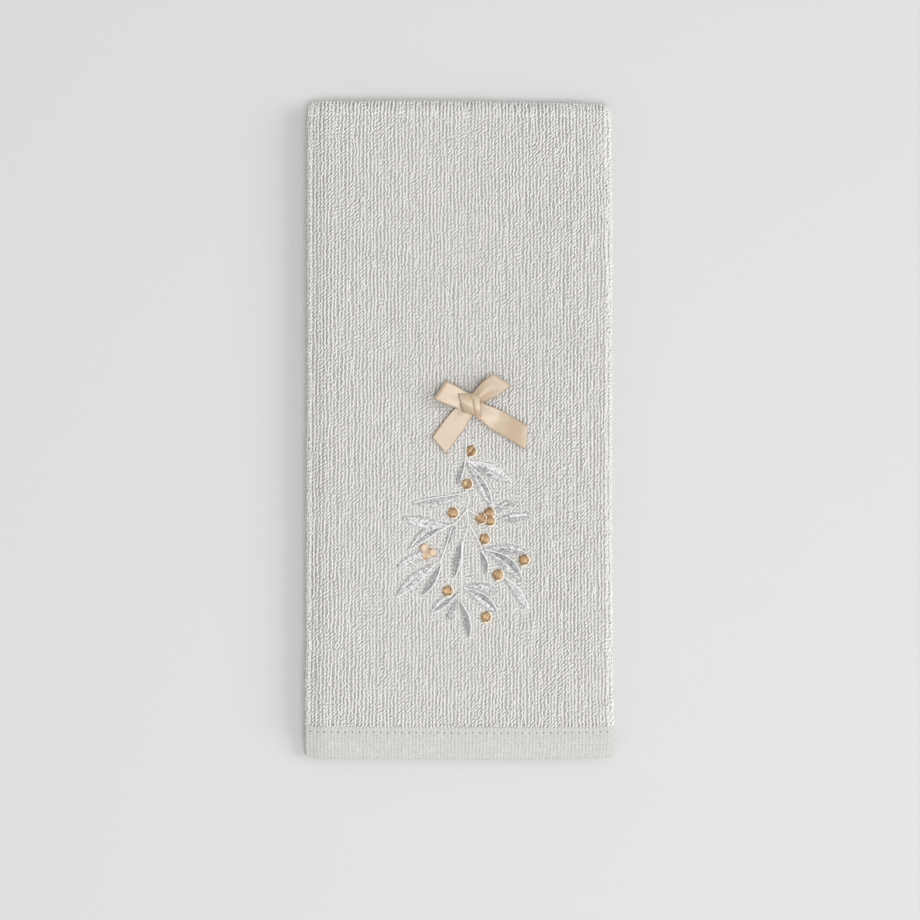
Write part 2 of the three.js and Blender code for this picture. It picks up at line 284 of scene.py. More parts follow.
# %% The cloth's mesh
HEM_STEP = 0.6  # length over which the cloth thickens beside its hem, and its end rounds off
HEM_ROWS = [0, 0.15, 0.35, 0.6, 1.2, 2.5, 4, 6, 8, 10, 12, 13.4, 14.4, 15.0, 15.2, 15.4, 15.6]
TURN_STEPS, FLAP_STEPS, PANEL_STEPS = 13, 11, 66
FRONT_STEPS, BEND_STEPS, BACK_STEPS = 100, 19, 60
LOOPS_END, LOOPS_FULL, SINK_RUN = -0.75, -0.35, 0.2


def half_thickness(from_end):
    edge = np.sqrt(np.clip(1 - (1 - np.clip(from_end / HEM_STEP, 0.12, 1)) ** 2, 0.05, 1))
    rise = ease(from_end, HEM_DEPTH - HEM_STEP, HEM_DEPTH)
    return (HEM_THICKNESS + (PILE_THICKNESS - HEM_THICKNESS) * rise) * edge / 2


def cloth_sections():
    half_turn = np.linspace(0, math.pi, TURN_STEPS)[1:-1]
    flap = np.linspace(1, 0, FLAP_STEPS) * FLAP_LENGTH
    panel = np.linspace(LEFT_X, RIGHT_X, PANEL_STEPS)
    parts = [
        straight(LEFT_X + flap, PITCH, 1), left_fold(half_turn), straight(panel, 0, -1),
        right_fold(half_turn), straight(RIGHT_X - flap[::-1], 2 * PITCH, 1),
    ]
    sections = np.concatenate(parts)
    step = np.hypot(*np.diff(sections[:, :2], axis=0).T)
    sunk = np.concatenate([np.full(len(p), float(k in (1, 2, 3))) for k, p in enumerate(parts)])
    return sections, np.concatenate([[0], np.cumsum(step)]), sunk


def cloth_rows():
    panel = np.linspace(HEM_DEPTH, FRONT_RUN, FRONT_STEPS)[1:]
    front = [along_front(v) for v in (*HEM_ROWS, *panel)]
    bend = [("bend", a) for a in np.linspace(0, math.pi, BEND_STEPS)[1:]]
    back = [("back", s) for s in np.linspace(0, 1, BACK_STEPS)[1:-1]]
    return front + bend + back + [("back_hem", v) for v in reversed(HEM_ROWS)]


FAR = 99.0  # farther than any place asked about


def from_end_of(row):
    return {"front": row[1], "back_hem": row[1]}.get(row[0], FAR)

# %% [markdown]
# ## From points to meshes
# Cloth and ribbon are both thin sheets with two faces. One helper joins two grids of points round
# their edges, and the other makes the mesh object that Blender needs.

# %% Sheets and mesh objects
def closed_sheet(outer, inner):
    """Faces of the closed sheet between two grids of points, rows by columns."""
    rows, columns = outer.shape[:2]
    index = np.arange(2 * rows * columns).reshape(2, rows, columns)
    out, into = index
    quads = [
        np.stack([out[:-1, :-1], out[:-1, 1:], out[1:, 1:], out[1:, :-1]], -1).reshape(-1, 4),
        np.stack([into[:-1, :-1], into[1:, :-1], into[1:, 1:], into[:-1, 1:]], -1).reshape(-1, 4),
        np.stack([out[:-1, 0], out[1:, 0], into[1:, 0], into[:-1, 0]], -1),
        np.stack([out[1:, -1], out[:-1, -1], into[:-1, -1], into[1:, -1]], -1),
        np.stack([out[0, 1:], out[0, :-1], into[0, :-1], into[0, 1:]], -1),
        np.stack([out[-1, :-1], out[-1, 1:], into[-1, 1:], into[-1, :-1]], -1),
    ]
    return np.concatenate([outer.reshape(-1, 3), inner.reshape(-1, 3)]), np.concatenate(quads)


def mesh_object(name, points, faces=(), edges=(), attributes=None):
    """A mesh object from points in millimetres, with its attributes on the points."""
    mesh = bpy.data.meshes.new(name)
    lists = [np.asarray(rows).tolist() for rows in (np.asarray(points) * MM, edges, faces)]
    mesh.from_pydata(*lists)
    for key, values in (attributes or {}).items():
        values = np.asarray(values, dtype=np.float32)
        kind, slot = ("FLOAT_VECTOR", "vector") if values.ndim == 2 else ("FLOAT", "value")
        mesh.attributes.new(key, kind, "POINT").data.foreach_set(slot, values.ravel())
    mesh.polygons.foreach_set("use_smooth", [True] * len(mesh.polygons))
    mesh.update()
    piece = bpy.data.objects.new(name, mesh)
    bpy.context.scene.collection.objects.link(piece)
    return piece

# %% [markdown]
# ## The towel's two faces
# Every row of the cloth is laid once for the outer face and once for the inner one. Then the whole
# towel is moved so that the middle of its footprint is the origin, as it is in the solids.

# %% Lay the cloth
FACES_UP = 0.9  # the front panel is where the outer face points up by more than this


def cloth_grids():
    sections, across, sunk = cloth_sections()
    rows = cloth_rows()
    outer, inner, flat, pile = [], [], [], []
    for row in rows:
        from_end = from_end_of(row)
        thick = half_thickness(np.full(len(sections), from_end))
        middle = folded(sections, row, 0.0)
        way = folded(sections, row, 1.0) - middle
        faces_up = ease(way[:, 2] / np.linalg.norm(way, axis=1), LOOPS_END, LOOPS_FULL)
        covered = sunk * faces_up * ease(from_end, HEM_DEPTH - SINK_RUN, HEM_DEPTH)
        out = thick + (GROUND - thick) * covered
        lift = sunk * (way[:, 2] > FACES_UP) * relief(middle[:, 0], middle[:, 1])
        outer.append(middle + way * (out + lift)[:, None])
        inner.append(middle - way * thick[:, None])
        flat.append(np.stack([across, np.full_like(across, distance_along(row)), 0 * across], -1))
        pile.append(np.full_like(across, ease(from_end, HEM_DEPTH - HEM_STEP, HEM_DEPTH)))
    return np.array(outer), np.array(inner), np.array(flat), np.array(pile)


outer, inner, flat, pile = cloth_grids()
low, high = outer.reshape(-1, 3).min(axis=0), outer.reshape(-1, 3).max(axis=0)
SHIFT = np.array([-(low[0] + high[0]) / 2, -(low[1] + high[1]) / 2, 0.0])
points, faces = closed_sheet(outer + SHIFT, inner + SHIFT)
cloth = mesh_object(
    "towel_cloth", points, faces,
    attributes={"flat": np.concatenate([flat.reshape(-1, 3)] * 2), "pile": np.tile(pile.ravel(), 2)},
)
print("cloth:", len(faces) * 2, "triangles, shift", SHIFT.round(2))

# %% [markdown]
# ## Where things lie on the front panel
# The bow and the sprig are placed in plan, in millimetres from the middle of the towel. This
# helper gives the height of the ground weave there, so they rest on the cloth however it swells.

# %% Height of the ground weave
def ground_at(x, y):
    x, y = np.asarray(x, dtype=float) - SHIFT[0], np.asarray(y, dtype=float) - SHIFT[1]
    return (height_at(x, y, 0.0, False) + GROUND + relief(x, y)) * swell(x, y)


print("ground weave in the middle:", round(float(ground_at(0.0, 0.0)), 2), "mm up")

# %% [markdown]
# ## The sprig's drawing
# The sprig is a hanging branch: a stem, side shoots that leave it at nodes, and slim leaves in
# fans. It is kept as short tables, so it can be redrawn by hand. A leaf's row gives its base and
# tip, its width and bend, how pale its left and right halves are painted as painted sheen and
# shade, and the side of its painted highlight rim. The loops need the drawing too, because the
# stitches press them flat.

# %% Stems, leaves and berries of the sprig
STEMS = [
    [(3.0, -3.0), (3.0, -11.5), (2.0, -18.0), (0.5, -22.5)], [(3.5, -26.5), (4.5, -31.5), (3.5, -36.0)],
    [(3.5, -36.0), (0.0, -40.5), (-3.5, -43.5)], [(3.5, -36.0), (6.5, -37.5), (9.5, -39.5)],
    [(3.5, -36.0), (4.5, -43.0), (1.5, -50.5), (1.0, -60.5), (1.0, -78.5)],
    [(4.5, -43.0), (7.5, -48.0), (10.5, -54.5)],
    [(-3.5, -44.0), (-6.0, -52.5), (-9.0, -60.5)], [(3.0, -11.5), (5.0, -14.5), (8.5, -16.5)],
    [(13.0, -38.0), (16.0, -37.5)], [(14.0, -41.5), (17.5, -41.5)],
]
# After the bend: how pale the left and the right half are painted, as painted sheen and shade, and the side
# of the painted highlight rim.
Leaf = namedtuple("Leaf", "base_x base_y tip_x tip_y width bend left_tone right_tone rim_side")
LEAVES = [Leaf(*row) for row in (
    (3.0, -14.0, 23.5, -23.5, 5.3, 0.9, 0.9, 0.55, 1),
    (4.0, -15.0, 15.0, -35.0, 4.1, 0.7, 0.25, 0.85, 1),
    (2.5, -14.0, -1.0, -24.5, 2.1, 0.0, 0.05, 0.05, 0),
    (3.0, -28.0, -21.0, -33.0, 4.1, 1.8, 0.75, 0.35, -1),
    (-4.0, -44.0, -26.0, -40.0, 4.6, 0.5, 0.8, 0.75, 0),
    (-3.5, -43.0, -23.0, -54.5, 4.4, -2.3, 0.15, 0.75, 1),
    (-2.5, -43.5, -6.0, -53.0, 1.9, 0.0, 0.1, 0.2, 0),
    (1.0, -50.5, -2.5, -67.5, 3.2, 0.0, 0.1, 0.05, 1),
    (-8.5, -54.5, -28.5, -62.5, 3.7, -0.9, 0.7, 0.8, 0),
    (-10.5, -60.5, -29.0, -76.5, 4.6, -0.9, 0.6, 0.85, 1),
    (-8.5, -62.0, -17.0, -75.5, 2.8, 0.5, 0.1, 0.15, 1),
    (0.0, -74.5, -13.0, -84.0, 4.1, -0.9, 0.1, 0.8, 1),
    (-1.0, -77.5, -6.0, -87.0, 2.3, 0.5, 0.4, 0.3, 0),
    (0.5, -78.5, 4.5, -95.0, 3.0, 0.9, 0.1, 0.05, 1),
    (2.0, -72.0, 17.5, -83.5, 4.4, 0.9, 0.15, 0.8, 1),
    (3.5, -71.5, 17.0, -74.5, 3.5, 0.9, 0.75, 0.5, 0),
    (10.0, -55.0, 12.5, -66.5, 2.5, 0.7, 0.15, 0.1, 1),
    (11.5, -54.5, 29.0, -69.0, 5.3, 1.8, 0.12, 0.75, 1),
    (11.5, -54.5, 32.0, -56.5, 3.5, 1.4, 0.85, 0.35, 0),
    (20.5, -67.0, 31.5, -82.0, 3.2, 0.7, 0.7, 0.8, 1),
    (15.5, -37.5, 26.5, -32.0, 2.8, 0.5, 0.85, 0.4, 0),
    (17.0, -41.5, 33.5, -39.0, 4.1, 0.5, 0.8, 0.4, 0),
)]
BERRIES = [
    (5.3, -9.2), (3.5, -24.4), (-3.0, -37.7), (9.9, -40.3), (13.8, -37.7), (14.0, -41.2), (11.7, -49.7),
    (29.7, -59.3), (17.7, -66.2), (-5.3, -73.6), (12.2, -85.6),
]
BERRY_RADIUS = 2.4
KNOTS = [(-16.1, -53.8), (-15.4, -57.2), (-12.5, -55.9)]
KNOT_RADIUS = 1.9
LEAF_BELLY, LEAF_ROUND, LEAF_TIP, LEAF_STEPS = 1.25, 0.85, 0.12, 14
LEAF_MARGIN, STEM_REACH = 0.1, 0.7


def leaf_line(leaf, steps):
    """The midrib of a leaf, the way across it to its left and its half width, base to tip."""
    base, tip = np.array(leaf[:2]), np.array(leaf[2:4])
    share = np.linspace(0, 1, steps)
    way = (tip - base) / np.linalg.norm(tip - base)
    left = np.array([-way[1], way[0]])
    rib = base + np.outer(share, tip - base) + np.outer(leaf.bend * np.sin(math.pi * share), left)
    half = leaf.width / 2 * np.clip(np.sin(math.pi * share**LEAF_BELLY), 0, 1) ** LEAF_ROUND
    turn = np.gradient(rib, axis=0)
    turn /= np.linalg.norm(turn, axis=1, keepdims=True)
    return rib, np.stack([-turn[:, 1], turn[:, 0]], -1), np.maximum(half, LEAF_TIP)


def clear_of_sprig(x, y):
    """Millimetres from each point to the nearest stitched shape, negative inside one."""
    nearest = np.full(len(x), FAR)
    at = np.stack([x, y], -1)
    for leaf in LEAVES:
        rib, _, half = leaf_line(leaf, LEAF_STEPS)
        gap = np.linalg.norm(at[:, None] - rib[None], axis=2) - half[None] - LEAF_MARGIN
        nearest = np.minimum(nearest, gap.min(axis=1))
    for stem in STEMS:
        for a, b in zip(np.array(stem, float), np.array(stem[1:], float)):
            share = np.clip((at - a) @ (b - a) / ((b - a) @ (b - a)), 0, 1)
            gap = np.linalg.norm(at - a - share[:, None] * (b - a), axis=1) - STEM_REACH
            nearest = np.minimum(nearest, gap)
    for centres, radius in ((BERRIES, BERRY_RADIUS), (KNOTS, KNOT_RADIUS)):
        for centre in centres:
            nearest = np.minimum(nearest, np.linalg.norm(at - centre, axis=1) - radius)
    return nearest


print(len(LEAVES), "leaves and", len(BERRIES) + len(KNOTS), "berries and knots")

# %% [markdown]
# ## Where the loops stand
# Terry has a loop at every few crossings of its weave, so the loops stand in ribs along the
# towel. Each becomes one point with the way its surface faces, the way its rib runs and its
# place on the flat cloth. None stand under a stitched leaf, and those close to one are pressed
# down.

# %% The loops' points
RIB_PITCH, LOOP_PITCH = 1.6, 1.74
RIB_SPREAD = 0.035  # ribs stand a little wider apart at the left than at the right
FIRST_LOOP, BEND_START = 0.7, 0.01
PRESSED_WITHIN, FREE_BEYOND = 0.5, 4.5  # millimetres from a stitched shape
LOWEST_FACE = -0.5  # loops stop where the surface faces down by more than this
HALF_PILE, PROBE = PILE_THICKNESS / 2, 0.5


def turned(radius):
    steps = max(int(math.pi * (radius + HALF_PILE) / RIB_PITCH), 3)
    return (np.arange(steps) + 0.5) * math.pi / steps


def pile_sections():
    left, right = left_fold(turned(LEFT_RADIUS)), right_fold(turned(RIGHT_RADIUS))
    share = np.linspace(0, 1, round((RIGHT_X - LEFT_X) / RIB_PITCH) + 1)
    panel = straight(LEFT_X + (RIGHT_X - LEFT_X) * (share + RIB_SPREAD * share * (1 - share)), 0, -1)
    sections = np.concatenate([left, panel, right])
    return sections, np.arange(len(sections)) * RIB_PITCH


def pile_rows():
    front = [along_front(v) for v in np.arange(HEM_DEPTH + FIRST_LOOP, FRONT_RUN, LOOP_PITCH)]
    bend = [("bend", a) for a in np.arange(BEND_START, math.pi, LOOP_PITCH / (OUTER_BEND + HALF_PILE))]
    back = [("back", s) for s in np.arange(0, 1, LOOP_PITCH / (back_run(0) - HEM_DEPTH))]
    return front + bend + back


def loop_points():
    sections, across = pile_sections()
    rows = pile_rows()
    ground = np.array([folded(sections, row, GROUND) for row in rows])
    raised = np.array([folded(sections, row, GROUND + PROBE) for row in rows])
    facing = raised - ground
    facing /= np.linalg.norm(facing, axis=2, keepdims=True)
    ribs = np.gradient(ground, axis=0)
    ribs /= np.linalg.norm(ribs, axis=2, keepdims=True)
    place = np.array([distance_along(row) for row in rows])
    flat = np.stack(np.broadcast_arrays(across[None], place[:, None], 0.0), -1)
    ground[..., 2] += np.where(facing[..., 2] > FACES_UP, relief(ground[..., 0], ground[..., 1]), 0.0)
    return [grid.reshape(-1, 3) for grid in (ground + SHIFT, facing, ribs, flat)]


ground, facing, ribs, flat = loop_points()
clear = clear_of_sprig(ground[:, 0], ground[:, 1])
clear = np.where(facing[:, 2] > 0, clear, FAR)
keep = (facing[:, 2] > LOWEST_FACE) & (clear > 0)
pressed = 1 - ease(clear, PRESSED_WITHIN, FREE_BEYOND)
print(int(keep.sum()), "loops")

# %% [markdown]
# ## Node trees
# Loops and stitches number in the thousands, so Geometry Nodes trees place them. A finish is a
# tree of nodes too. These helpers add one node at a time and hand back what comes out of it.

# %% Node helpers
class Nodes:
    """Adds nodes to self.group. Inputs are plain values or sockets of other nodes."""

    def node(self, kind, inputs=None, **settings):
        made = self.group.nodes.new(kind)
        for key, value in settings.items():
            setattr(made, key, value)
        for key, value in (inputs or {}).items():
            if isinstance(value, bpy.types.NodeSocket):
                self.group.links.new(value, made.inputs[key])
            else:
                made.inputs[key].default_value = value
        return made

    def out(self, kind, inputs=None, output=0, **settings):
        return self.node(kind, inputs, **settings).outputs[output]

    def maths(self, operation, a, b=0.0, c=0.0):
        return self.out("ShaderNodeMath", {0: a, 1: b, 2: c}, operation=operation)

    def noise(self, place, scale, detail, output=0):
        inputs = {"Vector": place, "Scale": scale, "Detail": detail}
        return self.out("ShaderNodeTexNoise", inputs, output)

# %% [markdown]
# ## Trees that make geometry
# A loop and a stitch are both a short arch with a round section, set upright on a point. So the
# arch, the round section and the upright turn are helpers that every tree can use.

# %% Geometry trees
class Tree(Nodes):
    """A Geometry Nodes tree with named inputs."""

    SOCKETS = {type(None): "NodeSocketMaterial", int: "NodeSocketInt", float: "NodeSocketFloat"}

    def __init__(self, name, **sizes):
        self.group = bpy.data.node_groups.new(name, "GeometryNodeTree")
        face = self.group.interface
        face.new_socket("Geometry", in_out="INPUT", socket_type="NodeSocketGeometry")
        self.ids = {}
        for label, value in sizes.items():
            made = face.new_socket(label, in_out="INPUT", socket_type=self.SOCKETS[type(value)])
            self.ids[label] = made.identifier
            if value is not None:
                made.default_value = value
        face.new_socket("Geometry", in_out="OUTPUT", socket_type="NodeSocketGeometry")
        self.input = self.group.nodes.new("NodeGroupInput").outputs

    def attribute(self, name, kind="FLOAT"):
        return self.out("GeometryNodeInputNamedAttribute", {"Name": name}, data_type=kind)

    def store(self, geometry, name, value):
        inputs = {"Geometry": geometry, "Name": name, "Value": value}
        return self.out("GeometryNodeStoreNamedAttribute", inputs, data_type="FLOAT", domain="POINT")

    def random(self, low, high, seed):
        made = self.node("FunctionNodeRandomValue", {"Seed": seed}, data_type="FLOAT")
        ends = [s for s in made.inputs if s.enabled and s.type == "VALUE"]
        ends[0].default_value, ends[1].default_value = low, high
        return next(s for s in made.outputs if s.enabled)

    def vector(self, x, y, z):
        return self.out("ShaderNodeCombineXYZ", {0: x, 1: y, 2: z})

    def vectors(self, operation, *inputs):
        return self.out("ShaderNodeVectorMath", dict(enumerate(inputs)), operation=operation)

    def scaled(self, vector, amount):
        return self.out("ShaderNodeVectorMath", {0: vector, "Scale": amount}, operation="SCALE")

    def arch(self, length, height, foot, steps):
        """A curve that leaves the ground at one end and comes down at the other."""
        half = self.maths("MULTIPLY", length, 0.5)
        return self.out("GeometryNodeCurveQuadraticBezier", {
            "Resolution": steps,
            "Start": self.vector(self.maths("MULTIPLY", half, -1.0), 0.0, foot),
            "Middle": self.vector(0.0, 0.0, self.maths("MULTIPLY", height, 2.0)),
            "End": self.vector(half, 0.0, foot),
        })

    def yarn(self, line, radius, sides, caps=False):
        highlight_ring = self.out("GeometryNodeCurvePrimitiveCircle", {"Resolution": sides, "Radius": radius})
        inputs = {"Curve": line, "Profile Curve": highlight_ring, "Fill Caps": caps}
        return self.out("GeometryNodeCurveToMesh", inputs)

    def upright(self, up, forward):
        inputs = {"Primary Axis": up, "Secondary Axis": forward}
        return self.out("FunctionNodeAxesToRotation", inputs, primary_axis="Z", secondary_axis="X")

    def placed(self, thing, points, rotation, size=(1, 1, 1)):
        inputs = {"Points": points, "Instance": thing, "Rotation": rotation, "Scale": size}
        return self.out("GeometryNodeInstanceOnPoints", inputs)

    def finish(self, geometry):
        """Makes one smooth mesh of it, in the material that is handed in."""
        whole = self.out("GeometryNodeRealizeInstances", {"Geometry": geometry})
        inputs = {0: self.out("GeometryNodeSetShadeSmooth", {0: whole}), "Material": self.input["Material"]}
        whole = self.out("GeometryNodeSetMaterial", inputs)
        self.group.links.new(whole, self.group.nodes.new("NodeGroupOutput").inputs[0])
        return self

# %% [markdown]
# ## From tree to mesh
# The export reads plain meshes only, so the tree's result takes the place of the points and the
# modifier goes. Its inputs are set by their identifiers, because names needn't be unique.

# %% Run a tree
def grow(piece, tree, material, **sizes):
    """Runs the tree on a piece and leaves the plain mesh that it makes."""
    modifier = piece.modifiers.new("grow", "NODES")
    modifier.node_group = tree.group
    for label, value in dict(sizes, Material=material).items():
        modifier[tree.ids[label]] = value
    solved = piece.evaluated_get(bpy.context.evaluated_depsgraph_get())
    made = bpy.data.meshes.new_from_object(solved)
    piece.modifiers.clear()
    old, piece.data = piece.data, made
    bpy.data.meshes.remove(old)
    made.name = piece.name
    print(piece.name, sum(len(p.vertices) - 2 for p in made.polygons), "triangles")
    return piece

# %% [markdown]
# ## The loops
# One loop is a short arch of yarn. The tree sets it on every point, turned the way the surface
# faces. A loop of real terry never stands straight: the twist of its yarn turns it off the rib,
# and washing pulls neighbours together, so noise moves and turns them in patches, with a smaller
# random turn for each loop. An arch has only sixteen faces, because there are thousands.

# %% The tree that stands the loops up
LOOP_STEPS, LOOP_SIDES, LOOP_FOOT = 4, 4, -0.2  # its ends are sunk by 0.2 mm
LOOP_LENGTHS, LOOP_HEIGHTS = (0.9, 1.25), (0.7, 1.2)  # shares of the usual length and height
LOOP_TURN, LOOP_TIP, PRESSED_TURN = 0.38, 0.55, 1.3  # most that chance turns it, in radians
FLATTENING, LENGTHENING = 0.55, 0.3  # a pressed loop gets lower and looks shorter
PATCH_SCALE, MEAN_PATCH = 0.045, 0.42
DRIFT_STRETCH, DRIFT_START = (0.37, 0.075, 1.0), (0.3, 0.2, 0.5)  # long along the ribs
DRIFT_SCALE, SLIDE_SCALE = 1.0, 0.6


def one_loop(t):
    arch = t.arch(t.input["Loop Length"], t.input["Loop Height"], LOOP_FOOT * MM, LOOP_STEPS)
    loop = t.yarn(arch, t.input["Yarn Radius"], LOOP_SIDES)
    up = t.out("ShaderNodeSeparateXYZ", {0: t.out("GeometryNodeInputPosition")}, 2)
    # depth runs from a loop's feet to its top; the loop's finish paints shade by it.
    return t.store(loop, "depth", t.maths("DIVIDE", up, t.input["Loop Height"]))


def shifted(t, along, facing, flat):
    """Moves the points aside and along their ribs, neighbours together."""
    place = t.vectors("MULTIPLY_ADD", flat, DRIFT_STRETCH, DRIFT_START)
    drift = t.maths("SUBTRACT", t.noise(place, DRIFT_SCALE, 2.0), 0.5)
    slide = t.out("ShaderNodeSeparateXYZ", {0: t.noise(place, SLIDE_SCALE, 1.0, "Color")}, 1)
    slide = t.maths("MULTIPLY", t.maths("SUBTRACT", slide, 0.5), t.input["Slide"])
    step = t.maths("MULTIPLY", drift, t.maths("MULTIPLY", t.input["Wander"], 2.0))
    aside = t.scaled(t.vectors("CROSS_PRODUCT", facing, along), step)
    moved = t.vectors("ADD", aside, t.scaled(along, slide))
    return t.out("GeometryNodeSetPosition", {"Geometry": t.input["Geometry"], "Offset": moved})


def stance(t, along, facing, flat, pressed):
    """Turns a loop off its rib with its patch and by chance, and tips it sideways."""
    turn = t.maths("SUBTRACT", t.noise(flat, PATCH_SCALE, 3.0), MEAN_PATCH)
    turn = t.maths("MULTIPLY", t.maths("MULTIPLY", turn, t.input["Slant Spread"]), -1.0)
    turn = t.maths("SUBTRACT", turn, t.input["Slant"])
    wild = t.maths("MULTIPLY", t.random(-PRESSED_TURN, PRESSED_TURN, 3), pressed)
    turn = t.maths("ADD", t.maths("ADD", turn, t.random(-LOOP_TURN, LOOP_TURN, 1)), wild)
    stand = t.upright(facing, along)
    for axis, angle in (((0, 0, 1), turn), ((1, 0, 0), t.random(-LOOP_TIP, LOOP_TIP, 2))):
        spin = t.out("FunctionNodeAxisAngleToRotation", {"Axis": axis, "Angle": angle})
        stand = t.out("FunctionNodeRotateRotation", {0: stand, 1: spin}, rotation_space="LOCAL")
    return stand


def pile_tree():
    t = Tree("pile", **{
        "Material": None, "Loop Length": 1.7 * MM, "Loop Height": 0.75 * MM, "Yarn Radius": 0.49 * MM,
        "Wander": 1.0 * MM, "Slant": 0.3, "Slant Spread": 1.2, "Slide": 3.0 * MM,
    })
    along, facing, flat = (t.attribute(n, "FLOAT_VECTOR") for n in ("rib", "facing", "flat"))
    pressed = t.attribute("pressed")
    points = t.store(shifted(t, along, facing, flat), "tone", t.random(0.0, 1.0, 6))
    squash = t.maths("SUBTRACT", 1.0, t.maths("MULTIPLY", pressed, FLATTENING))
    length = t.maths("MULTIPLY", t.random(*LOOP_LENGTHS, 4), t.maths("POWER", squash, LENGTHENING))
    height = t.maths("MULTIPLY", t.random(*LOOP_HEIGHTS, 5), squash)
    rotation = stance(t, along, facing, flat, pressed)
    return t.finish(t.placed(one_loop(t), points, rotation, t.vector(length, 1.0, height)))


loops_tree = pile_tree()
print("inputs of the pile's tree:", ", ".join(loops_tree.ids))

# %% [markdown]
# ## Finishes
# Cotton, satin and embroidery thread differ mostly in gloss. Cotton scatters light, so it gets
# full roughness and a little sheen. Satin ribbon and rayon thread are smooth, long filaments, so
# they keep a soft highlight. Gold thread is a metal foil on a core.

# %% Helpers for finishes
class Finish(Nodes):
    """A material with one Principled shader."""

    def __init__(self, name, colour, **sockets):
        self.material = bpy.data.materials.new(name)
        self.material.use_nodes = True
        self.material.diffuse_color = (*colour, 1)
        self.group = self.material.node_tree
        self.shader = self.group.nodes["Principled BSDF"].inputs
        self.shader["Base Color"].default_value = (*colour, 1)
        for key, value in sockets.items():
            self.shader[key.replace("_", " ").title().replace("Ior", "IOR")].default_value = value

    def attribute(self, name, output="Fac"):
        return self.out("ShaderNodeAttribute", None, output, attribute_name=name)

    def wave(self, value, pitch):
        return self.maths("SINE", self.maths("MULTIPLY", value, 2 * math.pi / pitch))

    def mix(self, share, a, b):
        return self.out("ShaderNodeMix", {0: share, 2: a, 3: b})

    def blend(self, share, *colours):
        """The first colour where share is 0 and the second where it is 1."""
        a, b = [(*c, 1) if isinstance(c, tuple) else c for c in colours]
        return self.out("ShaderNodeMix", {0: share, 6: a, 7: b}, 2, data_type="RGBA")

    def colour(self, socket):
        self.group.links.new(socket, self.shader["Base Color"])

    def bump(self, height, distance):
        inputs = {"Height": height, "Distance": distance * MM, "Strength": 1.0}
        self.group.links.new(self.out("ShaderNodeBump", inputs), self.shader["Normal"])

# %% [markdown]
# ## Cotton
# A loop is painted palest at its top and darker at its feet, as painted shade where little light
# gets, and a pressed loop gets less of it. The hem shows its flat weave, a grid of fine ribs both
# ways, its low lines painted darker as painted shade, and a dark needle hole painted at every
# stitch as painted shade. On the faces that lie inside the folds, waves of bump stand in for the
# loops; they and the ground weave under the loops take the loops' painted shade colour.

# %% Cotton
# The second colour is painted shade: the loops' feet and the cloth under them, where little light gets.
COTTON, COTTON_PAINTED_SHADE = (0.875, 0.862, 0.835), (0.705, 0.691, 0.663)
# The second hem colour is painted shade between the threads of the weave.
COTTON_WOVEN, COTTON_SHADE = (0.715, 0.705, 0.675), (0.52, 0.51, 0.487)
# The needle holes' colour is painted shade.
NEEDLE_HOLE_SHADE = (0.30, 0.29, 0.27)
TONE_SPREAD, PRESSED_LIGHT, FUZZ_SCALE = 0.18, 0.65, 6000.0
WEFT_PITCH, SEAM_INSET, STITCH_PITCH, HOLE_RADIUS = 1.15, 2.8, 3.2, 0.4  # millimetres
RIB_WAVE, WEFT_WAVE, GRAIN = 0.5, 0.35, 5.0  # shares of the hem's weave
LOOP_WAVE, LOOP_RIB_WAVE = 1.6, 1.5  # the bump in place of loops
WEAVE_CONTRAST, WEAVE_LIGHT = 0.33, 0.6
WORN_FROM, WORN_CONTRAST = 0.45, 0.8
PILE_BUMP, CLOTH_BUMP = 0.05, 0.12  # millimetres


def pile_finish():
    f = Finish("cotton_loops", COTTON, roughness=1.0, sheen_weight=0.12, sheen_roughness=0.5)
    # Painted shade: darker towards the loop's feet, with a random tone, and less of it on a pressed loop.
    tone = f.maths("MULTIPLY", f.attribute("tone"), TONE_SPREAD)
    depth = f.maths("SUBTRACT", f.attribute("depth"), tone)
    flattened = f.maths("MULTIPLY", f.attribute("pressed"), PRESSED_LIGHT)
    f.colour(f.blend(f.maths("MAXIMUM", depth, flattened), COTTON_PAINTED_SHADE, COTTON))
    place = f.out("ShaderNodeTexCoord", None, "Object")
    f.bump(f.noise(place, FUZZ_SCALE, 2.0), PILE_BUMP)
    return f.material


# Painted shade: a dark disc at every stitch of the seam, where the needle hole lies in shade.
def needle_hole_shade(f, across, along):
    aside = f.maths("PINGPONG", across, STITCH_PITCH / 2)
    seam = f.maths("ABSOLUTE", f.maths("SUBTRACT", along, HEM_DEPTH - SEAM_INSET))
    away = f.maths("ADD", f.maths("POWER", aside, 2.0), f.maths("POWER", seam, 2.0))
    return f.maths("LESS_THAN", away, HOLE_RADIUS**2)


